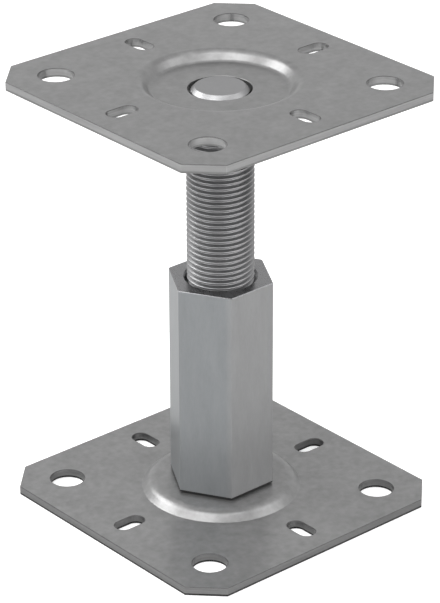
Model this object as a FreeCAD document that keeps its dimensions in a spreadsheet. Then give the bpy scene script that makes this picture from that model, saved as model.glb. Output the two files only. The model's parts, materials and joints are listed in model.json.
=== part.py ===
# Adjustable post base: two stamped plates joined by a screw jack.
# The base plate stands on the concrete. A hexagonal sleeve turns on its dome and is tapped for a rod,
# and the rod carries the top plate, on which the post stands.
# Millimetres. The origin is on the screw's axis, in the underside of the base plate, and +Z is up.

import FreeCAD, Part
import math
import os
import Sketcher

from FreeCAD import Placement, Rotation, Vector

# Each driving size: its name, its value and what it is.
DRIVING_SIZES = [
    ("plate_side", 114.0, "side of both square plates"),
    ("plate_thickness", 3.3, "sheet of both plates"),
    ("corner_cut", 10.5, "leg of each cut corner"),
    ("hole_spacing", 80.0, "between corner holes, both ways"),
    ("hole_diameter", 12.5, "corner holes, for anchors or coach screws"),
    ("slot_reach", 43.4, "from the axis to the middle of a slot"),
    ("slot_length", 12.0, "slot from end to end"),
    ("slot_width", 6.5, "slot, for wood screws"),
    ("centre_hole", 22.5, "diameter, punched in the middle of both plates"),
    ("dish_depth", 3.3, "how far the middle is pressed out of the sheet"),
    ("dish_foot", 57.9, "diameter where the dish's wall meets the flat sheet"),
    ("flank_angle", 45.0, "slope of the dish's wall, in degrees"),
    ("crown_bend", 5.5, "outside of the bend at the dome's crown"),
    ("lip_bend", 3.9, "outside of the bend at the hollow's lip"),
    ("across_flats", 34.0, "hexagon bar of the sleeve"),
    ("hex_length", 79.8, "hexagonal part of the sleeve"),
    ("hex_round", 0.5, "rounding of the bar's long edges"),
    ("edge_break", 0.2, "small chamfer round both ends of the bar"),
    ("collar_diameter", 27.0, "turned collar that stands on the dome"),
    ("collar_height", 1.15, "keeps the hexagon's corners off the plate"),
    ("pivot_play", 0.1, "radial play of the sleeve in the base plate"),
    ("axial_play", 0.1, "end play of the sleeve between collar and head"),
    ("head_diameter", 28.0, "riveted head inside the dome"),
    ("head_height", 2.2, "riveted head, thin enough to clear the floor"),
    ("head_edge", 0.7, "chamfer on the head's lower edge"),
    ("thread_diameter", 24.0, "outside of the rod's thread"),
    ("thread_play", 0.05, "radial play between rod and sleeve"),
    ("blind_end", 6.5, "solid length of the bar under the tapped hole's flat depth"),
    ("drill_point", 118.0, "angle of the drill's point, in degrees"),
    ("mouth_chamfer", 1.2, "countersink of the tapped hole"),
    ("thread_engaged", 24.0, "length of thread in the sleeve at the greatest height"),
    ("rod_end_chamfer", 1.6, "lead at the rod's lower end"),
    ("full_height", 162.3, "to the top of the top plate, at the greatest height"),
    ("spigot_diameter", 20.6, "rod's turned end in the top plate's hole"),
    ("spigot_stand", 0.8, "spigot's end above the dish's floor"),
    ("spigot_chamfer", 1.5, "on the spigot's end"),
    ("weld_leg", 3.2, "side of the weld along the plate and along the rod"),
    ("weld_gap", 0.05, "between the weld and the thread's crests"),
]

# Each derived size: its name and the formula that ties it to the driving sizes.
DERIVED_SIZES = [
    ("flank_run", "dish_depth / tan(flank_angle)"),
    ("sheet_shift", "plate_thickness * tan(flank_angle / 2)"),
    ("foot_corner", "dish_foot / 2"),
    ("crown_corner", "foot_corner - flank_run"),
    ("hollow_foot_corner", "foot_corner - sheet_shift"),
    ("hollow_crown_corner", "crown_corner - sheet_shift"),
    ("ring_edge", "foot_corner + lip_bend"),
    ("dome_top", "plate_thickness + dish_depth"),
    ("collar_bottom", "dome_top + axial_play / 2"),
    ("hex_bottom", "collar_bottom + collar_height"),
    ("hex_top", "hex_bottom + hex_length"),
    ("head_top", "dish_depth - axial_play / 2"),
    ("head_bottom", "head_top - head_height"),
    ("pivot_diameter", "centre_hole - 2 * pivot_play"),
    ("bore_diameter", "thread_diameter + 2 * thread_play"),
    ("bore_floor", "hex_bottom + blind_end"),
    ("bore_point", "bore_floor - bore_diameter / 2 / tan(drill_point / 2)"),
    ("rod_bottom", "hex_top - thread_engaged"),
    ("rod_shoulder", "full_height - dome_top"),
    ("spigot_top", "full_height - dish_depth + spigot_stand"),
    ("weld_bore", "thread_diameter / 2 + weld_gap"),
]

FULL_TURN = 360
HEX_SIDES = 6
PLATE_SIDES = 4
TOLERANCE = 1e-4

document = FreeCAD.newDocument("AdjustablePostBase")


def make_size_sheet():
    """One sheet that holds the driving sizes as numbers and the derived ones as formulas."""
    sheet = document.addObject("Spreadsheet::Sheet", "Sizes")
    rows = [(alias, str(value), meaning) for alias, value, meaning in DRIVING_SIZES]
    rows += [(alias, f"={formula}", "derived") for alias, formula in DERIVED_SIZES]
    for number, (alias, content, meaning) in enumerate(rows, start=1):
        sheet.set(f"A{number}", meaning)
        sheet.set(f"B{number}", content)
        sheet.setAlias(f"B{number}", alias)
    document.recompute()
    return sheet


sizes = make_size_sheet()


def value_of(formula):
    """The present value of a formula on the sheet, in millimetres or degrees."""
    return float(sizes.evalExpression(formula))


# Sketches


def origin_part(body, role):
    """One of the body's own origin planes or axes."""
    return next(feature for feature in body.Origin.OriginFeatures if feature.Role == role)


def new_sketch(body, name, role, lift=None):
    """An empty sketch on one of the body's own planes, lifted along the plane's normal."""
    sketch = body.newObject("Sketcher::SketchObject", name)
    sketch.AttachmentSupport = [(origin_part(body, role), "")]
    sketch.MapMode = "FlatFace"
    if lift:
        sketch.setExpression("AttachmentOffset.Base.z", lift)
    return sketch


def set_size(sketch, constraint, name, formula):
    """Add a named constraint and tie it to the sheet."""
    index = sketch.addConstraint(constraint)
    sketch.renameConstraint(index, name)
    sketch.setExpression(f"Constraints.{name}", formula)


def draw_profile(sketch, corners):
    """A closed outline of straight lines. Each corner is a radius and a height, as formulas."""
    points = [Vector(value_of(radius), value_of(height), 0) for radius, height in corners]
    count = len(points)
    for index in range(count):
        sketch.addGeometry(Part.LineSegment(points[index], points[(index + 1) % count]))
    for index in range(count):
        following = (index + 1) % count
        sketch.addConstraint(Sketcher.Constraint("Coincident", index, 2, following, 1))
    for index, (radius, height) in enumerate(corners):
        across = Sketcher.Constraint("DistanceX", -1, 1, index, 1, points[index].x)
        upwards = Sketcher.Constraint("DistanceY", -1, 1, index, 1, points[index].y)
        if radius == "0":
            sketch.addConstraint(Sketcher.Constraint("PointOnObject", index, 1, -2))
        else:
            set_size(sketch, across, f"radius{index}", radius)
        if height == "0":
            sketch.addConstraint(Sketcher.Constraint("PointOnObject", index, 1, -1))
        else:
            set_size(sketch, upwards, f"height{index}", height)


def draw_circle(sketch, diameter, centre_x=None, centre_y=None):
    """A circle in the middle, or at a centre given by two formulas."""
    centre = Vector(value_of(centre_x), value_of(centre_y), 0) if centre_x else Vector(0, 0, 0)
    circle = sketch.addGeometry(Part.Circle(centre, Vector(0, 0, 1), value_of(diameter) / 2))
    wide = Sketcher.Constraint("Diameter", circle, value_of(diameter))
    set_size(sketch, wide, "diameter", diameter)
    if centre_x:
        across = Sketcher.Constraint("DistanceX", -1, 1, circle, 3, centre.x)
        upwards = Sketcher.Constraint("DistanceY", -1, 1, circle, 3, centre.y)
        set_size(sketch, across, "centre_x", centre_x)
        set_size(sketch, upwards, "centre_y", centre_y)
    else:
        sketch.addConstraint(Sketcher.Constraint("Coincident", circle, 3, -1, 1))


def draw_square(sketch, side):
    """A square about the origin."""
    half = value_of(side) / 2
    corners = [Vector(-half, -half, 0), Vector(half, -half, 0), Vector(half, half, 0), Vector(-half, half, 0)]
    for index in range(PLATE_SIDES):
        sketch.addGeometry(Part.LineSegment(corners[index], corners[(index + 1) % PLATE_SIDES]))
    for index in range(PLATE_SIDES):
        following = (index + 1) % PLATE_SIDES
        direction = "Horizontal" if index % 2 == 0 else "Vertical"
        sketch.addConstraint(Sketcher.Constraint("Coincident", index, 2, following, 1))
        sketch.addConstraint(Sketcher.Constraint(direction, index))
    sketch.addConstraint(Sketcher.Constraint("Equal", 0, 1))
    sketch.addConstraint(Sketcher.Constraint("Symmetric", 0, 1, 1, 2, -1, 1))
    set_size(sketch, Sketcher.Constraint("DistanceX", 0, 1, 0, 2, 2 * half), "side", side)


def draw_hexagon(sketch, across_flats):
    """A regular hexagon about the origin, with a corner on the X axis."""
    corner_radius = value_of(across_flats) / math.sqrt(3)
    turns = [math.radians(FULL_TURN / HEX_SIDES * index) for index in range(HEX_SIDES)]
    corners = [Vector(corner_radius * math.cos(turn), corner_radius * math.sin(turn), 0) for turn in turns]
    for index in range(HEX_SIDES):
        sketch.addGeometry(Part.LineSegment(corners[index], corners[(index + 1) % HEX_SIDES]))
    circle = sketch.addGeometry(Part.Circle(Vector(0, 0, 0), Vector(0, 0, 1), corner_radius), True)
    sketch.addConstraint(Sketcher.Constraint("Coincident", circle, 3, -1, 1))
    for index in range(HEX_SIDES):
        following = (index + 1) % HEX_SIDES
        sketch.addConstraint(Sketcher.Constraint("Coincident", index, 2, following, 1))
        sketch.addConstraint(Sketcher.Constraint("PointOnObject", index, 1, circle))
        if index:
            sketch.addConstraint(Sketcher.Constraint("Equal", 0, index))
    sketch.addConstraint(Sketcher.Constraint("PointOnObject", 0, 1, -1))
    wide = Sketcher.Constraint("Diameter", circle, 2 * corner_radius)
    set_size(sketch, wide, "across_corners", f"2 * {across_flats} / sqrt(3)")


def draw_slot(sketch, length, width, reach):
    """A slot with round ends along the X axis, its middle at the given reach."""
    end_radius = value_of(width) / 2
    half_run = value_of(length) / 2 - end_radius
    near = Vector(value_of(reach) - half_run, 0, 0)
    far = Vector(value_of(reach) + half_run, 0, 0)
    side = Vector(0, end_radius, 0)
    up = Vector(0, 0, 1)
    far_end = sketch.addGeometry(
        Part.ArcOfCircle(Part.Circle(far, up, end_radius), -math.pi / 2, math.pi / 2))
    near_end = sketch.addGeometry(
        Part.ArcOfCircle(Part.Circle(near, up, end_radius), math.pi / 2, 3 * math.pi / 2))
    upper = sketch.addGeometry(Part.LineSegment(far + side, near + side))
    lower = sketch.addGeometry(Part.LineSegment(near - side, far - side))
    sketch.addConstraint(Sketcher.Constraint("Tangent", far_end, 2, upper, 1))
    sketch.addConstraint(Sketcher.Constraint("Tangent", upper, 2, near_end, 1))
    sketch.addConstraint(Sketcher.Constraint("Tangent", near_end, 2, lower, 1))
    sketch.addConstraint(Sketcher.Constraint("Tangent", lower, 2, far_end, 1))
    sketch.addConstraint(Sketcher.Constraint("PointOnObject", far_end, 3, -1))
    sketch.addConstraint(Sketcher.Constraint("PointOnObject", near_end, 3, -1))
    set_size(sketch, Sketcher.Constraint("Radius", far_end, end_radius), "end_radius", f"{width} / 2")
    near_reach = Sketcher.Constraint("DistanceX", -1, 1, near_end, 3, near.x)
    far_reach = Sketcher.Constraint("DistanceX", -1, 1, far_end, 3, far.x)
    set_size(sketch, near_reach, "near_reach", f"{reach} - {length} / 2 + {width} / 2")
    set_size(sketch, far_reach, "far_reach", f"{reach} + {length} / 2 - {width} / 2")


# Features


def pad(body, name, sketch, length):
    """Extrude a sketch upwards."""
    feature = body.newObject("PartDesign::Pad", name)
    feature.Profile = sketch
    feature.setExpression("Length", length)
    document.recompute()


def turn(body, name, sketch, kind="Revolution"):
    """Revolve a profile about the body's Z axis, to add material or, as a groove, to cut it."""
    feature = body.newObject(f"PartDesign::{kind}", name)
    feature.Profile = sketch
    feature.ReferenceAxis = (origin_part(body, "Z_Axis"), [""])
    feature.Angle = FULL_TURN
    document.recompute()


def punch(body, name, sketch, copies=1):
    """Cut a sketch right through, both ways from its plane, and repeat it round the Z axis."""
    before = body.Shape.Volume
    feature = body.newObject("PartDesign::Pocket", name)
    feature.Profile = sketch
    feature.Type = "ThroughAll"
    feature.SideType = "Symmetric"
    document.recompute()
    if copies > 1:
        pattern = body.newObject("PartDesign::PolarPattern", f"{name}Pattern")
        pattern.Originals = [feature]
        pattern.Axis = (origin_part(body, "Z_Axis"), [""])
        pattern.Angle = FULL_TURN
        pattern.Occurrences = copies
        body.Tip = pattern
        document.recompute()
    if body.Shape.Volume >= before:
        raise RuntimeError(f"{body.Name}: {name} cut nothing")


def edge_names(shape, wanted):
    """Names of the edges that a test picks."""
    return [f"Edge{number}" for number, edge in enumerate(shape.Edges, start=1) if wanted(edge)]


def is_ring(edge, radius, height):
    """Whether an edge is a circle about the Z axis, of this radius and at this height."""
    if not isinstance(edge.Curve, Part.Circle):
        return False
    centre = edge.Curve.Center
    off_axis = math.hypot(centre.x, centre.y)
    return max(off_axis, abs(centre.z - height), abs(edge.Curve.Radius - radius)) < TOLERANCE


def is_upright(edge):
    """Whether an edge is a straight line along Z."""
    if not isinstance(edge.Curve, Part.Line):
        return False
    along = edge.Curve.Direction
    return math.hypot(along.x, along.y) < TOLERANCE


def lies_at(edge, height):
    """Whether the whole edge lies at one height."""
    box = edge.BoundBox
    return max(abs(box.ZMin - height), abs(box.ZMax - height)) < TOLERANCE


def reach(edge):
    """How far the middle of an edge lies from the Z axis."""
    middle = edge.CenterOfMass
    return math.hypot(middle.x, middle.y)


def dress(body, name, kind, wanted, path, formula):
    """Fillet or chamfer the edges that a test picks on the body so far."""
    so_far = body.Tip
    edges = edge_names(so_far.Shape, wanted)
    if not edges:
        raise RuntimeError(f"{body.Name}: {name} found no edge")
    feature = body.newObject(f"PartDesign::{kind}", name)
    feature.Base = (so_far, edges)
    feature.setExpression(path, formula)
    document.recompute()


def new_body(name):
    """An empty body. Its label is the name of the piece."""
    body = document.addObject("PartDesign::Body", name)
    body.Label = name
    return body


# Stamped plate: the base plate, and turned over the top plate


def make_plate(name):
    """Sheet with cut corners and a round dome pressed up in its middle, standing on z = 0."""
    body = new_body(name)

    blank = new_sketch(body, f"{name}_blank", "XY_Plane")
    draw_square(blank, "Sizes.plate_side")
    draw_circle(blank, "2 * Sizes.ring_edge")
    pad(body, f"{name}_sheet", blank, "Sizes.plate_thickness")

    def sheet_corner(edge):
        return is_upright(edge) and reach(edge) > value_of("Sizes.plate_side / 2")

    dress(body, f"{name}_corners", "Chamfer", sheet_corner, "Size", "Sizes.corner_cut")

    section = new_sketch(body, f"{name}_section", "XZ_Plane")
    draw_profile(section, [
        ("Sizes.centre_hole / 2", "Sizes.dish_depth"),
        ("Sizes.hollow_crown_corner", "Sizes.dish_depth"),
        ("Sizes.hollow_foot_corner", "0"),
        ("Sizes.ring_edge", "0"),
        ("Sizes.ring_edge", "Sizes.plate_thickness"),
        ("Sizes.foot_corner", "Sizes.plate_thickness"),
        ("Sizes.crown_corner", "Sizes.dome_top"),
        ("Sizes.centre_hole / 2", "Sizes.dome_top"),
    ])
    turn(body, f"{name}_dome", section)

    def crown(edge):
        return is_ring(edge, value_of("Sizes.crown_corner"), value_of("Sizes.dome_top"))

    def lip(edge):
        return is_ring(edge, value_of("Sizes.hollow_foot_corner"), 0)

    dress(body, f"{name}_crown", "Fillet", crown, "Radius", "Sizes.crown_bend")
    dress(body, f"{name}_lip", "Fillet", lip, "Radius", "Sizes.lip_bend")

    corner_hole = new_sketch(body, f"{name}_corner_hole", "XY_Plane")
    draw_circle(corner_hole, "Sizes.hole_diameter", "Sizes.hole_spacing / 2", "Sizes.hole_spacing / 2")
    punch(body, f"{name}_corner_holes", corner_hole, PLATE_SIDES)

    slot = new_sketch(body, f"{name}_slot", "XY_Plane")
    draw_slot(slot, "Sizes.slot_length", "Sizes.slot_width", "Sizes.slot_reach")
    punch(body, f"{name}_slots", slot, PLATE_SIDES)
    return body


# Sleeve: hexagon bar, tapped from the top, with a collar, a pivot and a riveted head turned below


def make_sleeve(name):
    """Nut and handle in one: a spanner on its flats raises and lowers the rod."""
    body = new_body(name)

    outline = new_sketch(body, f"{name}_outline", "XY_Plane", lift="Sizes.hex_bottom")
    draw_hexagon(outline, "Sizes.across_flats")
    pad(body, f"{name}_bar", outline, "Sizes.hex_length")
    dress(body, f"{name}_long_edges", "Fillet", is_upright, "Radius", "Sizes.hex_round")

    def end_edge(edge):
        return lies_at(edge, value_of("Sizes.hex_bottom")) or lies_at(edge, value_of("Sizes.hex_top"))

    dress(body, f"{name}_end_edges", "Chamfer", end_edge, "Size", "Sizes.edge_break")

    foot = new_sketch(body, f"{name}_foot", "XZ_Plane")
    draw_profile(foot, [
        ("0", "Sizes.head_bottom"),
        ("Sizes.head_diameter / 2", "Sizes.head_bottom"),
        ("Sizes.head_diameter / 2", "Sizes.head_top"),
        ("Sizes.pivot_diameter / 2", "Sizes.head_top"),
        ("Sizes.pivot_diameter / 2", "Sizes.collar_bottom"),
        ("Sizes.collar_diameter / 2", "Sizes.collar_bottom"),
        ("Sizes.collar_diameter / 2", "Sizes.hex_bottom"),
        ("0", "Sizes.hex_bottom"),
    ])
    turn(body, f"{name}_pivot", foot)

    def head_rim(edge):
        return is_ring(edge, value_of("Sizes.head_diameter / 2"), value_of("Sizes.head_bottom"))

    dress(body, f"{name}_head_rim", "Chamfer", head_rim, "Size", "Sizes.head_edge")

    before = body.Shape.Volume
    bore = new_sketch(body, f"{name}_bore", "XZ_Plane")
    draw_profile(bore, [
        ("0", "Sizes.bore_point"),
        ("Sizes.bore_diameter / 2", "Sizes.bore_floor"),
        ("Sizes.bore_diameter / 2", "Sizes.hex_top - Sizes.mouth_chamfer"),
        ("Sizes.bore_diameter / 2 + Sizes.mouth_chamfer", "Sizes.hex_top"),
        ("0", "Sizes.hex_top"),
    ])
    turn(body, f"{name}_tapped_hole", bore, kind="Groove")
    if body.Shape.Volume >= before:
        raise RuntimeError(f"{name}: the tapped hole cut nothing")
    return body


# Rod: stud with a lead at its lower end and a turned spigot for the top plate's hole


def make_rod(name):
    """The stud up to the crests of its thread, at the greatest height."""
    body = new_body(name)
    section = new_sketch(body, f"{name}_section", "XZ_Plane")
    draw_profile(section, [
        ("0", "Sizes.rod_bottom"),
        ("Sizes.thread_diameter / 2 - Sizes.rod_end_chamfer", "Sizes.rod_bottom"),
        ("Sizes.thread_diameter / 2", "Sizes.rod_bottom + Sizes.rod_end_chamfer"),
        ("Sizes.thread_diameter / 2", "Sizes.rod_shoulder"),
        ("Sizes.spigot_diameter / 2", "Sizes.rod_shoulder"),
        ("Sizes.spigot_diameter / 2", "Sizes.spigot_top - Sizes.spigot_chamfer"),
        ("Sizes.spigot_diameter / 2 - Sizes.spigot_chamfer", "Sizes.spigot_top"),
        ("0", "Sizes.spigot_top"),
    ])
    turn(body, f"{name}_stud", section)
    return body


# Weld: ring in the corner between the top plate's dome and the rod


def make_weld(name):
    """A fillet weld with its back flat on the plate."""
    body = new_body(name)
    section = new_sketch(body, f"{name}_section", "XZ_Plane")
    draw_profile(section, [
        ("Sizes.weld_bore", "Sizes.rod_shoulder - Sizes.weld_leg"),
        ("Sizes.weld_bore + Sizes.weld_leg", "Sizes.rod_shoulder"),
        ("Sizes.weld_bore", "Sizes.rod_shoulder"),
    ])
    turn(body, f"{name}_ring", section)
    return body


# Assembly, at the greatest height


def place(body, turned_over=False, height=None):
    """Stand a piece on the origin, or turn it over and hang it from a height."""
    turning = Rotation(Vector(1, 0, 0), FULL_TURN / 2) if turned_over else Rotation()
    body.Placement = Placement(Vector(0, 0, 0), turning)
    if height:
        body.setExpression("Placement.Base.z", height)
    return body


pieces = [
    place(make_plate("base_plate")),
    place(make_sleeve("hex_sleeve")),
    place(make_rod("threaded_rod")),
    place(make_plate("top_plate"), turned_over=True, height="Sizes.full_height"),
    place(make_weld("weld_bead")),
]
document.recompute()


# Check and write


def check_document():
    """Stop if any object failed, or a piece isn't one valid solid."""
    for thing in document.Objects:
        if "Invalid" in thing.State or "Error" in thing.State:
            raise RuntimeError(f"{thing.Name} failed: {thing.State}")
    for piece in pieces:
        shape = piece.Shape
        if shape.isNull() or not shape.isValid() or len(shape.Solids) != 1:
            raise RuntimeError(f"{piece.Label} is not one valid solid")
        sketches = [entry for entry in piece.Group if entry.TypeId == "Sketcher::SketchObject"]
        for sketch in sketches:
            if sketch.solve() != 0:
                raise RuntimeError(f"{sketch.Name} does not solve")


check_document()
os.makedirs("parts", exist_ok=True)
for piece in pieces:
    piece.Shape.exportStep(f"parts/{piece.Label}.step")
    box = piece.Shape.BoundBox
    print(f"{piece.Label}: {piece.Shape.Volume / 1000:.2f} cm3, z {box.ZMin:.2f} to {box.ZMax:.2f}, "
          f"{box.XLength:.2f} x {box.YLength:.2f} mm")
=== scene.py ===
# %% [markdown]
# ## The frame
# The part is a steel post base: two stamped plates, joined by a screw jack. Its sizes, its pieces and the
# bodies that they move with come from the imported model, so this lesson loads that first and dresses it.
# A CAD node sits at the origin with its place in its mesh. Everything made here does the same.

import json
import math

import bmesh
import bpy

from mathutils import Matrix, Vector


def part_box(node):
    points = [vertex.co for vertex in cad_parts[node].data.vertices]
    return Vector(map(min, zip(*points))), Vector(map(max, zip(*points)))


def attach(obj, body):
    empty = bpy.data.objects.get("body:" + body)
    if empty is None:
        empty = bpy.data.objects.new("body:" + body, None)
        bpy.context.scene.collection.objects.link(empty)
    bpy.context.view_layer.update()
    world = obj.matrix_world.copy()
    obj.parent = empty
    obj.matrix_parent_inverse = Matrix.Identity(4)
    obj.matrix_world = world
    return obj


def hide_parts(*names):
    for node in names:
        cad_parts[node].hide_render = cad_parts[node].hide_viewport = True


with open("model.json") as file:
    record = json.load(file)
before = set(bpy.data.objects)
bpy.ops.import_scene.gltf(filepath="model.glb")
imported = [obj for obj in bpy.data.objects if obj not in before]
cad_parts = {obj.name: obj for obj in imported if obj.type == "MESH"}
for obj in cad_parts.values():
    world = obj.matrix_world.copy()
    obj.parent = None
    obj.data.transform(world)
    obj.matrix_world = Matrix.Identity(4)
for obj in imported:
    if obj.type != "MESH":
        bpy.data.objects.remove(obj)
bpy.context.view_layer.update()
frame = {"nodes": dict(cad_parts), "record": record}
MM = 0.001
print("CAD nodes:", sorted(frame["nodes"]))

# %% [markdown]
# ## Wires
# Node trees are easier to read as Python. A Wire stands for one output socket. Python's operators on it add
# Math nodes, and one method adds any other node. The same class serves shaders and Geometry Nodes.

# %% A socket that does sums
MATH = "ShaderNodeMath"


class Wire:
    """An output socket in a node tree, with operators that add Math nodes."""

    def __init__(self, tree, socket=None):
        self.tree = tree
        self.socket = socket

    def add(self, kind, settings, inputs, output=0):
        """Add a node: its type, its settings, its input values or wires, and the output to hand back."""
        node = self.tree.nodes.new(kind)
        for name, value in settings.items():
            setattr(node, name, value)
        for name, value in inputs.items():
            if isinstance(value, Wire):
                self.tree.links.new(value.socket, node.inputs[name])
            else:
                node.inputs[name].default_value = value
        return Wire(self.tree, node.outputs[output])

    def other(self, output):
        """Another output of the same node."""
        return Wire(self.tree, self.socket.node.outputs[output])

    def maths(self, operation, *values):
        """A Math node on the values."""
        return self.add(MATH, {"operation": operation}, dict(enumerate(values)))

    def within(self, low, high):
        """The wire's value, held between two limits."""
        return self.maths("MINIMUM", self.maths("MAXIMUM", self, low), high)

    def __add__(self, value):
        return self.maths("ADD", self, value)

    def __radd__(self, value):
        return self.maths("ADD", value, self)

    def __sub__(self, value):
        return self.maths("SUBTRACT", self, value)

    def __rsub__(self, value):
        return self.maths("SUBTRACT", value, self)

    def __mul__(self, value):
        return self.maths("MULTIPLY", self, value)

    def __rmul__(self, value):
        return self.maths("MULTIPLY", value, self)

    def __truediv__(self, value):
        return self.maths("DIVIDE", self, value)

    def __rtruediv__(self, value):
        return self.maths("DIVIDE", value, self)


# %% [markdown]
# ## Camera
# The picture was taken with a long lens, looking down a little from one corner. The numbers below put the
# plates' corners, the holes and the bar where the picture has them.

# %% Set the camera
PICTURE_HEIGHT = 603
FOCAL_PIXELS = 3086.47
SENSOR = 36.0
NEAREST_SEEN = 0.01
VIEW_TURN = 0.85828
VIEW_FALL = 0.45845
VIEW_ROLL = -0.00345
VIEW_DISTANCE = 1.12981
AXIS_RIGHT = 0.00051
FOOT_BELOW = 0.069226


def add_camera():
    """A camera that sees the foot of the screw's axis below the middle of its picture."""
    level = Vector((math.cos(VIEW_TURN), math.sin(VIEW_TURN), 0))
    forward = level * math.cos(VIEW_FALL) - Vector((0, 0, math.sin(VIEW_FALL)))
    right = forward.cross(Vector((0, 0, 1))).normalized()
    up = right.cross(forward)
    tilted_right = right * math.cos(VIEW_ROLL) + up * math.sin(VIEW_ROLL)
    tilted_up = up * math.cos(VIEW_ROLL) - right * math.sin(VIEW_ROLL)
    data = bpy.data.cameras.new("camera")
    data.sensor_width = SENSOR
    data.lens = FOCAL_PIXELS / PICTURE_HEIGHT * SENSOR
    data.clip_start = NEAREST_SEEN
    camera = bpy.data.objects.new("camera", data)
    columns = Matrix((tilted_right, tilted_up, -forward)).transposed()
    place = -(tilted_right * AXIS_RIGHT - tilted_up * FOOT_BELOW + forward * VIEW_DISTANCE)
    camera.matrix_world = Matrix.Translation(place) @ columns.to_4x4()
    bpy.context.scene.collection.objects.link(camera)
    bpy.context.scene.camera = camera
    return level


view_level = add_camera()
view_left = Vector((-view_level.y, view_level.x, 0))
print("lens:", round(bpy.context.scene.camera.data.lens, 1), "mm")

# %% [markdown]
# ## Zinc on steel
# Every piece is zinc-coated steel. The coat is a satin grey metal with a faint cloudy mottle, because the
# zinc grows in soft patches, and a fine grain. An image could give that, but it would have to be wrapped
# round every piece. Noise at three scales in Object coordinates needs no wrapping, and it stays on the metal
# when a piece moves. Zinc scatters more light than bare steel, so the shader is not quite all metal.

# %% Mix two colours
COLOUR_A, COLOUR_B, COLOUR_RESULT = 6, 7, 2


def blend(start, share, first, second):
    """A Mix node between two colours. Its sockets share their names, so the colour ones go by number."""
    inputs = {"Factor": share, COLOUR_A: first, COLOUR_B: second}
    return start.add("ShaderNodeMix", {"data_type": "RGBA"}, inputs, output=COLOUR_RESULT)


def doubled(tone):
    """Twice a tone. Mixed with black by half a level, it gives the tone times the level."""
    return tuple(2 * part for part in tone) + (1,)


BLACK = (0, 0, 0, 1)
print("a tone of 0.2 is mixed from", doubled((0.2, 0.2, 0.2)))

# %% [markdown]
# The coats differ in their details. The thread's coat darkens towards the screw's axis, so its roots are
# darker than its crests: painted shade in the grooves. The drawn bar has a faint blue cast that fades out
# round it, which is a slow change of tone along one level direction. Where the cast fades the coat is also
# brighter, which is painted light on those faces.

# %% Build a zinc coat
CLOUD = {"Scale": 140.0, "Detail": 3.0, "Roughness": 0.6}
PATCH = {"Scale": 400.0, "Detail": 2.0, "Roughness": 0.5}
FINE = {"Scale": 1800.0, "Detail": 2.0}
GLOSS_SPREAD = 0.06
BUMP_DISTANCE = 1 * MM
CLOUD_SHARE = 0.6
GLINT = 0.25
# How dark the painted shade in the thread's grooves gets at the roots.
DARKEST_GROOVE_SHADE = 0.85
# The bar's coat turns brighter and neutral along one level direction: a blue cast on one side, painted light
# on the brighter faces.
TINT_AND_LIT_SIDE_WIDTH = 3.0 * MM
TINT_AND_LIT_SIDE_TURN = math.radians(-40)
TINT_AND_LIT_SIDE_WAY = Vector((math.cos(TINT_AND_LIT_SIDE_TURN), math.sin(TINT_AND_LIT_SIDE_TURN), 0))


def end_material(start, surface):
    """End a material's tree with its surface."""
    node = start.tree.nodes.new("ShaderNodeOutputMaterial")
    start.tree.links.new(surface.socket, node.inputs["Surface"])


def new_material(name):
    """An empty material and the first wire of its tree."""
    material = bpy.data.materials.new(name)
    material.use_nodes = True
    material.node_tree.nodes.clear()
    return material, Wire(material.node_tree)


def groove_shaded(start, place, inner, outer):
    """Painted shade in the thread's grooves: a level that is 1 at the outer radius round the screw's axis,
    and falls to the darkest shade inwards.
    """
    across = start.add("ShaderNodeSeparateXYZ", {}, {"Vector": place})
    depth = across.other("Y")
    radius = start.maths("SQRT", across * across + depth * depth)
    return ((radius - inner) / (outer - inner)).within(DARKEST_GROOVE_SHADE, 1.0)


def tinted_and_side_lit(start, place, full, second, edge):
    """A colour that changes to a second one past an edge along one level direction: partly a blue cast and
    partly painted light on the faces beyond the edge.
    """
    settings = {"operation": "DOT_PRODUCT"}
    along = start.add("ShaderNodeVectorMath", settings, {0: place, 1: TINT_AND_LIT_SIDE_WAY}, output="Value")
    share = ((along - edge) / TINT_AND_LIT_SIDE_WIDTH + 0.5).within(0.0, 1.0)
    return blend(start, share, full, doubled(second))


def zinc(name, tone, roughness, metal=0.9, mottle=0.4, grain=0.08, bump=0.012, stretch=(1.0, 1.0, 1.0),
         groove_shade=None, tint_and_side_light=None):
    """A zinc coat. The tone is its linear colour, and mottle and grain are how far it strays.

    The last two arguments are the pair of radii for the painted shade in the thread's grooves, and the second
    tone and edge for the bar's one-sided blue cast and painted light.
    """
    material, start = new_material(name)
    place = start.add("ShaderNodeTexCoord", {}, {}, output="Object")
    place = start.add("ShaderNodeMapping", {}, {"Vector": place, "Scale": stretch})
    cloud = start.add("ShaderNodeTexNoise", {}, {"Vector": place, **CLOUD})
    patch = start.add("ShaderNodeTexNoise", {}, {"Vector": place, **PATCH})
    fine = start.add("ShaderNodeTexNoise", {}, {"Vector": place, **FINE})
    level = 1 + (cloud - 0.5) * mottle + (patch - 0.5) * mottle + (fine - 0.5) * grain
    if groove_shade:
        level = level * groove_shaded(start, place, *groove_shade)
    full = doubled(tone)
    if tint_and_side_light:
        full = tinted_and_side_lit(start, place, full, *tint_and_side_light)
    rough = roughness + (patch - 0.5) * GLOSS_SPREAD + (fine - 0.5) * GLOSS_SPREAD
    height = cloud * CLOUD_SHARE + patch * (1 - CLOUD_SHARE)
    normal = start.add("ShaderNodeBump", {}, {"Strength": bump, "Distance": BUMP_DISTANCE, "Height": height})
    surface = start.add("ShaderNodeBsdfPrincipled", {}, {
        "Base Color": blend(start, level * 0.5, BLACK, full), "Metallic": metal, "Roughness": rough,
        "Specular IOR Level": GLINT, "Normal": normal,
    })
    end_material(start, surface)
    return material
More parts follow.
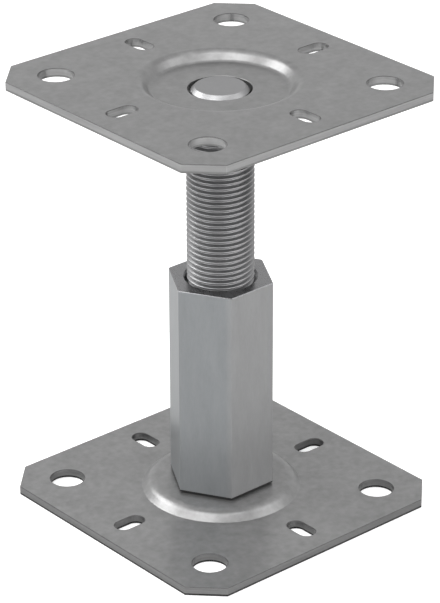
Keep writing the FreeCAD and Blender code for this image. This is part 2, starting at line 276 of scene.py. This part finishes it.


# %% [markdown]
# Each plate has its own tone, fitted to the picture. Its sheared sides carry fine streaks along their length:
# the noise is stretched along X and Y and squeezed along Z. The upper plate's sides are painted brighter than
# the lower one's: painted light on the upper sides and painted shade on the lower ones. The torn foot of the
# lower plate's sides is nearly black, partly a rough torn finish and partly painted shade where the plate
# meets the floor. The rims that the punch has rolled are painted dark: painted shade along the plates' edges.

# %% Make the finishes
BASE_TONE = (0.223, 0.223, 0.223)
TOP_TONE = (0.192, 0.192, 0.192)
SLEEVE_TONE = (0.242, 0.252, 0.259)
# The sleeve's second tone is brighter: painted light on the faces that turn one way, besides the loss of the
# blue cast.
SLEEVE_TINT_AND_LIT_SIDE = ((0.283, 0.284, 0.286), 2.7 * MM)
ROD_TONE = (0.272, 0.272, 0.276)
FACED_TONE = (0.195, 0.195, 0.2)
# Painted light and painted shade on the plates' sheared sides: the bright tone lights the upper plate's, the
# darker one shades the lower plate's.
SHADED_SIDE_TONE = (0.20, 0.20, 0.20)
LIT_SIDE_TONE = (0.29, 0.29, 0.29)
# The rolled rims are painted dark: painted shade along every edge of the plates.
RIM_SHADE_TONE = (0.1, 0.1, 0.1)
# Nearly black: partly the rough torn foot of the lower plate's sides, partly painted shade there and under
# the sleeve.
TORN_AND_SHADE_TONE = (0.03, 0.03, 0.03)
# The radii over which the thread's coat is painted darker towards its roots: painted shade in the grooves.
GROOVE_SHADE_DEPTHS = (10.6 * MM, 12.0 * MM)
SHEARED = (0.12, 0.12, 4.0)
DRAWN_OUT = (1.0, 1.0, 0.25)
base_zinc = zinc("base plate zinc", BASE_TONE, roughness=0.33, metal=0.66)
top_zinc = zinc("top plate zinc", TOP_TONE, roughness=0.32, metal=0.75)
shaded_side_zinc = zinc("shaded side", SHADED_SIDE_TONE, roughness=0.36, bump=0.0, stretch=SHEARED)
lit_side_zinc = zinc("lit side", LIT_SIDE_TONE, roughness=0.36, bump=0.0, stretch=SHEARED)
shaded_rim_zinc = zinc("rolled rim painted dark", RIM_SHADE_TONE, roughness=0.5, metal=0.4, bump=0.0)
torn_and_shaded_zinc = zinc("torn side and painted shade", TORN_AND_SHADE_TONE, roughness=0.6, metal=0.5, bump=0.0)
sleeve_zinc = zinc("sleeve zinc", SLEEVE_TONE, roughness=0.36, metal=0.65, mottle=0.15, grain=0.12,
                   bump=0.01, stretch=DRAWN_OUT, tint_and_side_light=SLEEVE_TINT_AND_LIT_SIDE)
faced_zinc = zinc("faced zinc", FACED_TONE, roughness=0.28, mottle=0.2, bump=0.01)
# The thread's coat is painted darker in its roots, as shade in the grooves.
rod_zinc = zinc("thread zinc", ROD_TONE, roughness=0.40, metal=1.0, mottle=0.10, grain=0.0, bump=0.0,
                groove_shade=GROOVE_SHADE_DEPTHS)
spigot_zinc = zinc("turned zinc", ROD_TONE, roughness=0.28, mottle=0.15, bump=0.01)
weld_zinc = zinc("weld zinc", ROD_TONE, roughness=0.36)
print("finishes:", [material.name for material in bpy.data.materials])

# %% [markdown]
# ## Outlines and turned shapes
# Every piece here is either punched from sheet, drawn as a bar or turned on a lathe. So three helpers build
# nearly everything: one rounds the corners of a line, one runs a wall down a closed outline, and one spins a
# profile round the screw's axis. Flat faces with holes are then filled between the rings that they leave.

# %% Round a line's corners


def corner_arc(before, here, after, radius, steps):
    """The points of an arc that rounds a corner, each with the direction to the right of the line."""
    came = (here - before).normalized()
    goes = (after - here).normalized()
    turn = math.atan2(came.cross(goes), came.dot(goes))
    side = math.copysign(1, turn)
    start = here - came * radius * math.tan(abs(turn) / 2)
    centre = start + Vector((-came.y, came.x)) * side * radius
    points = []
    for step in range(steps + 1):
        swung = Matrix.Rotation(turn * step / steps, 2)
        facing = swung @ Vector((came.y, -came.x))
        points.append((centre + facing * radius * side, facing))
    return points


def rounded_outline(corners, radius, steps=4):
    """A closed outline, anticlockwise, with every corner rounded alike."""
    corners = [Vector(corner) for corner in corners]
    outline = []
    for before, here, after in zip(corners[-1:] + corners, corners, corners[1:] + corners[:1]):
        outline += corner_arc(before, here, after, radius, steps)
    return outline


def hole_outline(centre, radius, run=(0, 0), steps=24):
    """A round hole, or a slot when its two ends run apart. It faces its own middle."""
    centre, run = Vector(centre), Vector(run)
    last = 1 if run.length else 0
    first = math.atan2(run.y, run.x) - math.pi / 2
    outline = []
    for end, start in ((centre + run, first), (centre - run, first + math.pi)):
        for step in range(steps + last):
            angle = start + math.pi * step / steps
            out = Vector((math.cos(angle), math.sin(angle)))
            outline.append((end + out * radius, -out))
    return outline


def rounded_profile(corners, steps=8):
    """A line of radius and height pairs. Each corner comes with the radius that rounds it."""
    places = [Vector(corner[:2]) for corner in corners]
    profile = [tuple(places[0])]
    for before, here, after, corner in zip(places, places[1:], places[2:], corners[1:]):
        if corner[2]:
            profile += [tuple(point) for point, _ in corner_arc(before, here, after, corner[2], steps)]
        else:
            profile.append(tuple(here))
    return profile + [tuple(places[-1])]


print("a round hole is drawn with", len(hole_outline((0, 0), 1)), "points")

# %% Run walls, turn profiles and fill faces


def join_rings(work, upper, lower, paint):
    """Faces between two rings of vertices. A ring of one vertex is a pole."""
    for number in range(max(len(upper), len(lower))):
        corners = []
        for ring, offsets in ((upper, (1, 0)), (lower, (0, 1))):
            for offset in offsets:
                corner = ring[(number + offset) % len(ring)]
                if corner not in corners:
                    corners.append(corner)
        face = work.faces.new(corners)
        face.material_index = paint


def wall(work, outline, levels):
    """A wall down an outline. A level is its depth into the metal, its height and its paint."""
    rings = []
    for depth, height, paint in levels:
        ring = [work.verts.new((*(place - facing * depth), height)) for place, facing in outline]
        if rings:
            join_rings(work, rings[-1], ring, paint)
        rings.append(ring)
    return rings[0], rings[-1]


def turned(work, profile, paint=0, steps=144):
    """Spin a profile round the Z axis. A point on the axis becomes a pole."""
    rings = []
    for radius, height in profile:
        count = steps if radius else 1
        turns = [math.tau * number / steps for number in range(count)]
        ring = [work.verts.new((radius * math.cos(turn), radius * math.sin(turn), height)) for turn in turns]
        if rings:
            join_rings(work, rings[-1], ring, paint)
        rings.append(ring)
    return rings[0], rings[-1]


def ring_edges(work, ring):
    """The edges of a closed ring of vertices."""
    return [work.edges.get((ring[number - 1], ring[number])) for number in range(len(ring))]


def fill(work, rings, paint=0):
    """One flat face between an outline and the holes in it."""
    edges = [edge for ring in rings for edge in ring_edges(work, ring)]
    made = bmesh.ops.triangle_fill(work, use_beauty=True, edges=edges)["geom"]
    for face in made:
        if isinstance(face, bmesh.types.BMFace):
            face.material_index = paint


# %% Finish a mesh
SHARP = math.radians(30)
MOST_WEIGHT = 100


def finished_mesh(work, name, materials):
    """Make the mesh: faces outwards, sharp edges kept, and large faces flat where a curve meets them."""
    bmesh.ops.recalc_face_normals(work, faces=work.faces)
    for edge in work.edges:
        edge.smooth = edge.calc_face_angle(math.pi) < SHARP
    for face in work.faces:
        face.smooth = True
    mesh = bpy.data.meshes.new(name)
    work.to_mesh(mesh)
    work.free()
    for material in materials:
        mesh.materials.append(material)
    carrier = bpy.data.objects.new(f"{name} work", mesh)
    bpy.context.scene.collection.objects.link(carrier)
    weighted = carrier.modifiers.new("large faces stay flat", "WEIGHTED_NORMAL")
    weighted.weight = MOST_WEIGHT
    weighted.keep_sharp = True
    return baked(carrier, name)


def baked(carrier, name):
    """The mesh that an object's modifiers make, as plain data. The carrier is removed."""
    graph = bpy.context.evaluated_depsgraph_get()
    mesh = bpy.data.meshes.new_from_object(carrier.evaluated_get(graph))
    mesh.name = name
    bpy.data.objects.remove(carrier)
    return mesh


def put(name, mesh, body, replaced):
    """Put a finished mesh in the scene as the piece that stands for a CAD node."""
    piece = bpy.data.objects.new(name, mesh)
    bpy.context.scene.collection.objects.link(piece)
    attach(piece, body)
    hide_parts(replaced)
    print(name, "has", len(mesh.polygons), "faces")


# %% [markdown]
# ## Plates
# Both plates are the same stamping, and the upper one is turned over. A press punches the outline and the
# holes, and pushes the middle out by the sheet's own thickness, with a flank at 45 degrees. A bent sheet
# keeps its thickness, so every bend has two radii that differ by it. The dish could be a grid bent by a
# modifier, but a turned profile holds those radii exactly. The punch rolls the upper rim a little and tears
# the lowest part of each side, so a side has three zones. The holes' places and sizes come from the record's
# bolt patterns.

# %% Measure the stamping
SHEET = 3.3 * MM
CUT_CORNER = 10.5 * MM
UPRIGHT_ROUND = 0.45 * MM
DISH_FOOT = 28.95 * MM
DISH_DEPTH = 3.3 * MM
DISH_MARGIN = 3.0 * MM
FLANK_SLOPE = math.radians(45)
CROWN_BEND = 5.5 * MM
LIP_BEND = 3.9 * MM
CENTRE_HOLE = 11.25 * MM
UPPER_RIM = 0.25 * MM
LOWER_RIM = 0.2 * MM
TORN_ZONE = 0.6 * MM
plate_low, plate_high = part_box("top_plate")
HALF_SIDE = plate_high.x


def rim(radius, height, way, paint, steps=3):
    """The levels of a rolled rim, from the flat face to the wall."""
    levels = []
    for step in range(steps + 1):
        angle = math.pi / 2 * step / steps
        depth = radius * (1 - math.sin(angle))
        levels.append((depth, height + way * radius * (1 - math.cos(angle)), paint))
    return levels


def cut_outlines():
    """The sheet's outline, four corner holes and four slots."""
    near, far = HALF_SIDE - CUT_CORNER, HALF_SIDE
    quarter = [(far, -near), (far, near), (near, far), (-near, far)]
    outlines = [rounded_outline(quarter + [(-x, -y) for x, y in quarter], UPRIGHT_ROUND)]
    holes = {mount["name"]: mount["dims"] for mount in frame["record"]["mounts"]}
    reach = holes["base_holes"]["spacing_x_mm"] / 2 * MM
    radius = holes["base_holes"]["hole_r_mm"] * MM
    outlines += [hole_outline((reach * x, reach * y), radius) for x in (-1, 1) for y in (-1, 1)]
    slot = holes["base_slots_x"]
    reach = slot["spacing_x_mm"] / 2 * MM
    radius = slot["hole_r_mm"] * MM
    run = slot["slot_length_mm"] / 2 * MM - radius
    for x, y in ((1, 0), (0, 1), (-1, 0), (0, -1)):
        outlines.append(hole_outline((reach * x, reach * y), radius, (run * x, run * y)))
    return outlines


print("openings punched round the dish:", len(cut_outlines()) - 1)

# %% Press the plates
# The upper plate's sides get the brightly painted coat and the lower plate's the darker one: painted light
# and painted shade on the same sheared metal.
BASE_PAINTS = [base_zinc, shaded_side_zinc, shaded_rim_zinc, torn_and_shaded_zinc]
TOP_PAINTS = [top_zinc, lit_side_zinc, shaded_rim_zinc, shaded_side_zinc]
FACE, SIDE, RIM, TORN = range(4)
FLANK_RUN = DISH_DEPTH
SHEET_SHIFT = SHEET * math.tan(FLANK_SLOPE / 2)


def pressed_plate(name, height, way, paints):
    """The stamping. The flat face on the hollow's side lies at a height, and the dome rises one way."""

    def level(rise):
        return height + way * rise

    work = bmesh.new()
    dish = rounded_profile([
        (DISH_FOOT + DISH_MARGIN, level(SHEET), 0),
        (DISH_FOOT, level(SHEET), LIP_BEND - SHEET),
        (DISH_FOOT - FLANK_RUN, level(SHEET + DISH_DEPTH), CROWN_BEND),
        (CENTRE_HOLE, level(SHEET + DISH_DEPTH), UPPER_RIM),
        (CENTRE_HOLE, level(DISH_DEPTH), UPPER_RIM),
        (DISH_FOOT - FLANK_RUN - SHEET_SHIFT, level(DISH_DEPTH), CROWN_BEND - SHEET),
        (DISH_FOOT - SHEET_SHIFT, level(0), LIP_BEND),
        (DISH_FOOT + DISH_MARGIN, level(0), 0),
    ])
    crown_ring, hollow_ring = turned(work, dish)
    low, high = sorted((level(0), level(SHEET)))
    upper_face = [crown_ring if way > 0 else hollow_ring]
    lower_face = [hollow_ring if way > 0 else crown_ring]
    rolled = rim(UPPER_RIM, high, -1, RIM)
    sheared = [(0, low + LOWER_RIM + TORN_ZONE, SIDE)]
    torn = list(reversed(rim(LOWER_RIM, low, 1, TORN)))
    for outline in cut_outlines():
        upper, lower = wall(work, outline, rolled + sheared + torn)
        upper_face.append(upper)
        lower_face.append(lower)
    fill(work, upper_face, FACE)
    fill(work, lower_face, FACE)
    return finished_mesh(work, name, paints)


base = pressed_plate("base_plate", 0.0, 1, BASE_PAINTS)
put("base_plate_finished", base, "base", "base_plate")
top = pressed_plate("top_plate", plate_high.z, -1, TOP_PAINTS)
put("top_plate_finished", top, "post", "top_plate")

# %% [markdown]
# ## Sleeve
# The sleeve is a length of drawn hexagon bar, tapped from above. Its foot is turned down to a collar, a pivot
# in the base plate's hole, and a head that is riveted over in the hollow of the dome. A Boolean could cut the
# bore from a six-sided cylinder. A wall down a rounded outline and two turned profiles need none and leave
# clean edges. The hexagon runs on half a millimetre below its foot. That band, the bar's underside, the
# collar, the pivot and the head are painted nearly black: painted shade in the gap under the bar and round
# its foot.

# %% Make the sleeve
ACROSS_FLATS = 34.0 * MM
BAR_ROUND = 0.5 * MM
BAR_BREAK = 0.2 * MM
# The band under the hexagon is painted nearly black: painted shade in the gap above the dome.
SHADED_FOOT_BAND = 0.5 * MM
BORE_RADIUS = 12.05 * MM
COUNTERSINK = 1.2 * MM
BORE_FLOOR = 14.3 * MM
DRILL_POINT = math.radians(118)
COLLAR_RADIUS = 13.5 * MM
COLLAR_BOTTOM = 6.65 * MM
COLLAR_HEIGHT = 1.15 * MM
PIVOT_RADIUS = 11.15 * MM
HEAD_RADIUS = 14.0 * MM
HEAD_TOP = 3.25 * MM
HEAD_BOTTOM = 1.05 * MM
HEAD_EDGE = 0.7 * MM
BORE_STEPS = 96
sleeve_low, sleeve_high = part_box("hex_sleeve")


def hexagon():
    """The bar's outline. Two of its corners lie on the X axis."""
    reach = ACROSS_FLATS / math.sqrt(3)
    angles = [math.radians(60 * number) for number in range(6)]
    corners = [(reach * math.cos(angle), reach * math.sin(angle)) for angle in angles]
    return rounded_outline(corners, BAR_ROUND)


# The third paint is painted shade: nearly black, for the band under the hexagon, its underside and the turned
# foot.
DRAWN, FACED, PAINTED_SHADE = range(3)
work = bmesh.new()
bar_top, bar_bottom = sleeve_high.z, COLLAR_BOTTOM + COLLAR_HEIGHT
upper, lower = wall(work, hexagon(), [
    (BAR_BREAK, bar_top, DRAWN),
    (0, bar_top - BAR_BREAK, FACED),
    (0, bar_bottom, DRAWN),
    (0, bar_bottom - SHADED_FOOT_BAND, PAINTED_SHADE),
])
mouth, _ = turned(work, [
    (BORE_RADIUS + COUNTERSINK, bar_top),
    (BORE_RADIUS, bar_top - COUNTERSINK),
    (BORE_RADIUS, BORE_FLOOR),
    (0, BORE_FLOOR - BORE_RADIUS / math.tan(DRILL_POINT / 2)),
], paint=FACED, steps=BORE_STEPS)
collar, _ = turned(work, [
    (COLLAR_RADIUS, bar_bottom - SHADED_FOOT_BAND),
    (COLLAR_RADIUS, COLLAR_BOTTOM),
    (PIVOT_RADIUS, COLLAR_BOTTOM),
    (PIVOT_RADIUS, HEAD_TOP),
    (HEAD_RADIUS, HEAD_TOP),
    (HEAD_RADIUS, HEAD_BOTTOM + HEAD_EDGE),
    (HEAD_RADIUS - HEAD_EDGE, HEAD_BOTTOM),
    (0, HEAD_BOTTOM),
], paint=PAINTED_SHADE, steps=BORE_STEPS)
fill(work, [upper, mouth], FACED)
fill(work, [lower, collar], PAINTED_SHADE)
sleeve = finished_mesh(work, "hex_sleeve", [sleeve_zinc, faced_zinc, torn_and_shaded_zinc])
put("hex_sleeve_finished", sleeve, "sleeve", "hex_sleeve")

# %% [markdown]
# ## Thread
# The rod's thread is one ridge wound round a core, 2 mm a turn. A Screw modifier could wind a profile, but a
# rule gives the crest, the root and the lead in one go, so Geometry Nodes bend a long grid: one way along it
# goes round and up the helix, the other way goes once over the ridge. The flanks are straight lines, and a
# smooth minimum and maximum round the crest and the root as a rolled thread is. A metric thread is cut from
# a sharp ridge: an eighth comes off its crest, and the core lies 17/24 of the ridge below that.

# %% Build the thread's tree
CREST_CUT = 1 / 8
ROOT_BLEND = 0.08
CREST_BLEND = 0.05
MERGED_WITHIN = 1e-6


def new_tree(name, inputs):
    """An empty Geometry Nodes tree with named inputs, its first wire and the inputs as wires."""
    tree = bpy.data.node_groups.new(name, "GeometryNodeTree")
    tree.interface.new_socket("Geometry", in_out="OUTPUT", socket_type="NodeSocketGeometry")
    for title, kind in inputs.items():
        tree.interface.new_socket(title, in_out="INPUT", socket_type=f"NodeSocket{kind}")
    start = Wire(tree)
    doors = tree.nodes.new("NodeGroupInput")
    return tree, start, {title: Wire(tree, doors.outputs[title]) for title in inputs}


def bend_grid(start, grid, place, material):
    """End a tree: move the grid's points, close its seams, and give the whole its material."""
    bent = start.add("GeometryNodeSetPosition", {}, {"Geometry": grid, "Position": place})
    joined = start.add("GeometryNodeMergeByDistance", {}, {"Geometry": bent, "Distance": MERGED_WITHIN})
    smooth = start.add("GeometryNodeSetShadeSmooth", {}, {"Geometry": joined, "Shade Smooth": True})
    whole = start.add("GeometryNodeRealizeInstances", {}, {"Geometry": smooth})
    painted = start.add("GeometryNodeSetMaterial", {}, {"Geometry": whole, "Material": material})
    out = start.tree.nodes.new("NodeGroupOutput")
    start.tree.links.new(painted.socket, out.inputs["Geometry"])


def grown(name, tree, values):
    """Run a tree with its inputs set by identifier, and keep the mesh."""
    carrier = bpy.data.objects.new(name, bpy.data.meshes.new(name))
    bpy.context.scene.collection.objects.link(carrier)
    modifier = carrier.modifiers.new(name, "NODES")
    modifier.node_group = tree
    for socket in tree.interface.items_tree:
        if socket.in_out == "INPUT":
            modifier[socket.identifier] = values[socket.name]
    carrier.update_tag()
    return baked(carrier, name)


def thread_tree(material):
    """A right-hand thread, open at both ends, with a cone-shaped lead at its lower end."""
    tree, start, size = new_tree("thread", {
        "Crest Radius": "Float", "Root Radius": "Float", "Pitch": "Float", "Ridge": "Float",
        "Bottom": "Float", "Lead": "Float", "Turns": "Int", "Steps": "Int", "Rows": "Int",
    })
    columns = size["Turns"] * size["Steps"] + 1
    grid = start.add(
        "GeometryNodeMeshGrid",
        {},
        {"Size X": 1.0, "Size Y": 1.0, "Vertices X": columns, "Vertices Y": size["Rows"] + 1},
    )
    spot = start.add("GeometryNodeInputPosition", {}, {})
    across = start.add("ShaderNodeSeparateXYZ", {}, {"Vector": spot})
    wound = (across + 0.5) * size["Turns"]
    over = across.other("Y") + 0.5
    angle = wound * math.tau
    height = size["Bottom"] + (wound + over - 1) * size["Pitch"]
    slope = 1 - start.maths("ABSOLUTE", over * 2 - 1)
    sharp_root = size["Crest Radius"] - size["Ridge"] * (1 - CREST_CUT)
    flank = sharp_root + slope * size["Ridge"]
    rooted = start.maths("SMOOTH_MAX", flank, size["Root Radius"], size["Pitch"] * ROOT_BLEND)
    crested = start.maths("SMOOTH_MIN", rooted, size["Crest Radius"], size["Pitch"] * CREST_BLEND)
    lead = size["Crest Radius"] - size["Lead"] + (height - size["Bottom"])
    radius = start.maths("MINIMUM", crested, lead)
    place = start.add(
        "ShaderNodeCombineXYZ",
        {},
        {"X": radius * start.maths("COSINE", angle), "Y": radius * start.maths("SINE", angle), "Z": height},
    )
    bend_grid(start, grid, place, material)
    return tree


# %% Grow the thread
THREAD_PITCH = 2.0 * MM
THREAD_ANGLE = math.radians(60)
CORE_DEPTH = 17 / 24
TURN_STEPS = 84
RIDGE_ROWS = 16
rod_low, rod_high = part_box("threaded_rod")
CREST_RADIUS = rod_high.x
RIDGE = THREAD_PITCH / 2 / math.tan(THREAD_ANGLE / 2)
ROOT_RADIUS = CREST_RADIUS - RIDGE * CORE_DEPTH
LEAD = 1.6 * MM
SHOULDER = plate_low.z
turns = math.ceil((SHOULDER - rod_low.z) / THREAD_PITCH) + 1
thread = grown("threaded_rod", thread_tree(rod_zinc), {
    "Crest Radius": CREST_RADIUS, "Root Radius": ROOT_RADIUS, "Pitch": THREAD_PITCH, "Ridge": RIDGE,
    "Bottom": rod_low.z, "Lead": LEAD, "Turns": turns, "Steps": TURN_STEPS, "Rows": RIDGE_ROWS,
})
print("the thread has", turns, "turns and a core of", round(2 * ROOT_RADIUS / MM, 2), "mm")

# %% [markdown]
# The grown thread is open at both ends. It is cut off square where the rod ends below and at the shoulder
# above. Then its lower end is closed, and the turned spigot that sits in the top plate's hole goes on top.

# %% Close the rod's ends
SNAP = 1e-9
ON_THE_CUT = 1e-7
SPIGOT_RADIUS = 10.3 * MM
SPIGOT_CHAMFER = 1.5 * MM
SPIGOT_EDGE = 0.25 * MM
SPIGOT_MIDDLE = 8.35 * MM


def cut_ring(work, height, way):
    """Cut the thread off square at a height, and give the edges round the cut."""
    everything = work.verts[:] + work.edges[:] + work.faces[:]
    bmesh.ops.bisect_plane(
        work, geom=everything, dist=SNAP, plane_co=(0, 0, height), plane_no=(0, 0, way), clear_outer=True)
    rims = [edge for edge in work.edges if edge.is_boundary]
    return [edge for edge in rims if all(abs(vertex.co.z - height) < ON_THE_CUT for vertex in edge.verts)]


def finish_rod(mesh):
    """Close the rod's lower end, and turn the spigot on its upper end.

    The ring at SPIGOT_MIDDLE has no corner. It keeps the spigot's flat top shaded flat.
    """
    work = bmesh.new()
    work.from_mesh(mesh)
    bmesh.ops.triangle_fill(work, edges=cut_ring(work, rod_low.z, -1))
    shoulder = cut_ring(work, SHOULDER, 1)
    spigot, _ = turned(work, rounded_profile([
        (SPIGOT_RADIUS, SHOULDER, 0),
        (SPIGOT_RADIUS, rod_high.z - SPIGOT_CHAMFER, SPIGOT_EDGE),
        (SPIGOT_RADIUS - SPIGOT_CHAMFER / 2, rod_high.z - SPIGOT_CHAMFER / 2, 0),
        (SPIGOT_RADIUS - SPIGOT_CHAMFER, rod_high.z, SPIGOT_EDGE),
        (SPIGOT_MIDDLE, rod_high.z, 0),
        (0, rod_high.z, 0),
    ], steps=3), paint=1)
    spigot_foot = ring_edges(work, spigot)
    bmesh.ops.triangle_fill(work, edges=spigot_foot + shoulder)
    bmesh.ops.recalc_face_normals(work, faces=work.faces)
    for face in work.faces:
        face.smooth = True
    for edge in shoulder + spigot_foot:
        edge.smooth = False
    work.to_mesh(mesh)
    work.free()
    mesh.materials.append(spigot_zinc)


finish_rod(thread)
put("threaded_rod_finished", thread, "post", "threaded_rod")

# %% [markdown]
# ## Weld
# The rod is welded under the top plate. A weld bead is a row of frozen ripples, laid one on the next round
# the rod. It could be a bent array of drops, but it follows a rule, so Geometry Nodes make it too: a grid
# goes round the rod one way and round the bead's three-sided section the other way. The section has a right
# angle in the corner of rod and plate. Its long side is the bead's face, which rises and falls with each
# ripple, and each ripple lags towards the face's edges.

# %% Grow the weld bead
CORNER_TURN = math.radians(45)
SIDE_TURN = math.radians(135)
RIPPLE_LAG = 0.9
WELD_GAP = 0.05 * MM


def weld_tree(material):
    """A ring with a right-angled section in the corner of rod and plate, and a rippled face.

    Inside is the radius of the circle that fits the section. The grid is wrapped round its middle.
    """
    tree, start, size = new_tree("weld", {
        "Inner Radius": "Float", "Plate Height": "Float", "Leg": "Float", "Bulge": "Float",
        "Ripple": "Float", "Ripples": "Int", "Steps": "Int", "Rows": "Int",
    })
    grid = start.add(
        "GeometryNodeMeshGrid",
        {},
        {"Size X": 1.0, "Size Y": 1.0, "Vertices X": size["Ripples"] * size["Steps"] + 1,
         "Vertices Y": size["Rows"] + 1},
    )
    spot = start.add("GeometryNodeInputPosition", {}, {})
    across = start.add("ShaderNodeSeparateXYZ", {}, {"Vector": spot})
    angle = (across + 0.5) * math.tau
    around = (across.other("Y") + 0.5) * math.tau
    inside = size["Leg"] * (1 - math.sqrt(0.5))
    to_face = start.maths("COSINE", around)
    to_rod = start.maths("COSINE", around - SIDE_TURN)
    to_plate = start.maths("COSINE", around + SIDE_TURN)
    skew = start.maths("SINE", around)
    beat = start.maths("FRACT", (across + 0.5) * size["Ripples"] + skew * skew * RIPPLE_LAG)
    ripple = beat * (1 - beat) * 4 * size["Ripple"]
    face_mask = start.maths("MAXIMUM", to_face, 0.0)
    face_reach = inside + (size["Bulge"] + ripple) * face_mask * face_mask
    to_sides = start.maths("MAXIMUM", to_rod, to_plate) / inside
    reach = 1 / start.maths("MAXIMUM", to_face / face_reach, to_sides)
    aim = around - CORNER_TURN
    radius = size["Inner Radius"] + inside + reach * start.maths("COSINE", aim)
    height = size["Plate Height"] - inside + reach * start.maths("SINE", aim)
    place = start.add(
        "ShaderNodeCombineXYZ",
        {},
        {"X": radius * start.maths("COSINE", angle), "Y": radius * start.maths("SINE", angle), "Z": height},
    )
    bend_grid(start, grid, place, material)
    return tree


weld_low, weld_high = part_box("weld_bead")
weld = grown("weld_bead", weld_tree(weld_zinc), {
    "Inner Radius": CREST_RADIUS + WELD_GAP, "Plate Height": weld_high.z, "Leg": weld_high.z - weld_low.z,
    "Bulge": 0.35 * MM, "Ripple": 0.22 * MM, "Ripples": 60, "Steps": 8, "Rows": 36,
})
put("weld_bead_finished", weld, "post", "weld_bead")

# %% [markdown]
# ## Studio
# A pale floor and a white surround stand in for the studio. The surround is plain white to the camera and in
# reflections, and gives no other light. The floor keeps the object's shadow. It also glows a little, for the
# camera only, and more towards its edges, so that it ends as white as the surround.

# %% Make the floor and the surround
FLOOR_SIZE = 1.8
FLOOR_DROP = 0.2 * MM
WHITE = (1, 1, 1, 1)
FLOOR_TONE = 0.8
FLOOR_GLOW = 0.6
GLOW_GROWS_FROM = 0.4
GLOW_GROWS_TO = 0.8


def add_floor():
    """A plain pale floor, a hair under the object so that the two don't meet."""
    half = FLOOR_SIZE / 2
    mesh = bpy.data.meshes.new("floor")
    corners = [(-half, -half, 0), (half, -half, 0), (half, half, 0), (-half, half, 0)]
    mesh.from_pydata(corners, [], [(0, 1, 2, 3)])
    material, start = new_material("floor white")
    path = start.add("ShaderNodeLightPath", {}, {}, output="Is Camera Ray")
    spot = start.add("ShaderNodeTexCoord", {}, {}, output="Object")
    distance = start.add("ShaderNodeVectorMath", {"operation": "LENGTH"}, {"Vector": spot}, output="Value")
    far = ((distance - GLOW_GROWS_FROM) / (GLOW_GROWS_TO - GLOW_GROWS_FROM)).within(0.0, 1.0)
    surface = start.add("ShaderNodeBsdfPrincipled", {}, {
        "Base Color": (FLOOR_TONE, FLOOR_TONE, FLOOR_TONE, 1), "Roughness": 1.0, "Specular IOR Level": 0.0,
        "Emission Color": WHITE, "Emission Strength": path * (FLOOR_GLOW + far * (1 - FLOOR_GLOW)),
    })
    end_material(start, surface)
    mesh.materials.append(material)
    floor = bpy.data.objects.new("floor", mesh)
    floor.location.z = -FLOOR_DROP
    bpy.context.scene.collection.objects.link(floor)


def add_surround():
    """White to the camera and in reflections, and dark elsewhere, so that the panels alone give light."""
    world = bpy.data.worlds.new("surround")
    bpy.context.scene.world = world
    world.use_nodes = True
    world.node_tree.nodes.clear()
    start = Wire(world.node_tree)
    path = start.add("ShaderNodeLightPath", {}, {}, output="Is Camera Ray")
    shiny = start.maths("MAXIMUM", path.other("Is Glossy Ray"), path.other("Is Transmission Ray"))
    white = start.maths("MAXIMUM", path, shiny)
    glow = start.add("ShaderNodeBackground", {}, {"Color": WHITE, "Strength": white})
    node = world.node_tree.nodes.new("ShaderNodeOutputWorld")
    world.node_tree.links.new(glow.socket, node.inputs["Surface"])


add_floor()
add_surround()
print("floor:", FLOOR_SIZE, "m square")

# %% [markdown]
# Metal looks like what it reflects, so soft panels stand round the object where its faces need something
# bright. The panels at the left give the dome and the dish their bright bands, and the narrow one high in
# front closes the band at the back of the dish. The ones in front and at the right light the bar's faces.
# The one overhead fills in. A broad panel a metre away also keeps the edges of reflections soft.

# %% Hang the panels
PANEL_DISTANCE = 1.0
AIM_HEIGHT = 80 * MM


def add_light(name, width, height, radiance, side, rise):
    """A soft panel that faces the object, placed by degrees to the camera's left and degrees up."""
    data = bpy.data.lights.new(name, "AREA")
    data.shape = "RECTANGLE"
    data.size = width
    data.size_y = height
    data.energy = radiance * width * height * math.pi
    light = bpy.data.objects.new(name, data)
    side, rise = math.radians(side), math.radians(rise)
    level = -view_level * math.cos(side) + view_left * math.sin(side)
    out = level * math.cos(rise) + Vector((0, 0, math.sin(rise)))
    light.location = Vector((0, 0, AIM_HEIGHT)) + out * PANEL_DISTANCE
    light.rotation_euler = out.to_track_quat("Z", "Y").to_euler()
    bpy.context.scene.collection.objects.link(light)


add_light("left panel", width=0.7, height=0.48, radiance=6.3, side=107, rise=37)
add_light("left front panel", width=0.5, height=0.35, radiance=4.9, side=55, rise=25)
add_light("left high panel", width=0.6, height=0.4, radiance=4.1, side=44, rise=58)
add_light("front panel", width=0.9, height=0.35, radiance=2.1, side=0, rise=36)
add_light("right panel", width=1.2, height=0.5, radiance=3.8, side=-48, rise=14)
add_light("right high panel", width=0.6, height=0.48, radiance=1.9, side=-90, rise=46)
add_light("high front panel", width=0.7, height=0.22, radiance=3.2, side=0, rise=76)
add_light("overhead panel", width=1.0, height=1.0, radiance=0.6, side=0, rise=89)
bpy.context.scene.view_settings.view_transform = "Standard"
print("lights:", [light.name for light in bpy.data.lights])
